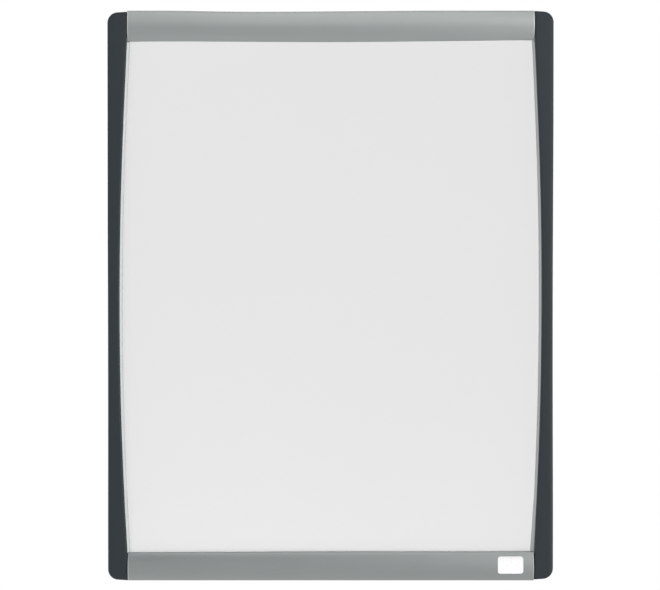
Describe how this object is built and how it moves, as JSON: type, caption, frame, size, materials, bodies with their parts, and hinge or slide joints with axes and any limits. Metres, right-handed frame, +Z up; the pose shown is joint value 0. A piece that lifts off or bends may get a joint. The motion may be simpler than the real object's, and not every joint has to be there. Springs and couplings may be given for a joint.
{
  "type": "whiteboard",
  "caption": "Small portrait wall whiteboard: steel writing sheet in a frame with straight silver rails and arched charcoal side rails.",
  "frame": {"origin": "middle of the wall plane, on the rear face of the central foam pad", "axes": "+X to the viewer's right, +Z up the board, +Y into the wall, so the writing face looks along -Y"},
  "size_m": [0.28, 0.016, 0.358],
  "materials": {
    "white_enamel": "glossy white enamel",
    "fibreboard": "raw",
    "zinc_sheet": "galvanised",
    "silver": "satin silver grey",
    "charcoal": "satin charcoal",
    "lip_silver": "satin silver grey",
    "black_moulding": "moulded black",
    "zinc_screw": "zinc plated",
    "foam": "white closed-cell foam",
    "label_white": "plain white label"
  },
  "bodies": {
    "root": {"writing_sheet": "white_enamel", "core_board": "fibreboard", "back_sheet": "zinc_sheet", "top_rail": "silver", "bottom_rail": "silver", "left_side_rail": "charcoal", "right_side_rail": "charcoal", "left_inner_lip": "lip_silver", "right_inner_lip": "lip_silver", "corner_bracket_top_left": "black_moulding", "corner_bracket_top_right": "black_moulding", "corner_bracket_bottom_left": "black_moulding", "corner_bracket_bottom_right": "black_moulding", "side_rail_screw_top_left": "zinc_screw", "side_rail_screw_top_right": "zinc_screw", "side_rail_screw_bottom_left": "zinc_screw", "side_rail_screw_bottom_right": "zinc_screw", "top_rail_screw_left": "zinc_screw", "top_rail_screw_right": "zinc_screw", "bottom_rail_screw_left": "zinc_screw", "bottom_rail_screw_right": "zinc_screw", "foam_pad_center": "foam", "foam_pad_top_left": "foam", "foam_pad_top_right": "foam", "foam_pad_bottom_left": "foam", "foam_pad_bottom_right": "foam", "blank_label": "label_white"}
  },
  "joints": []
}
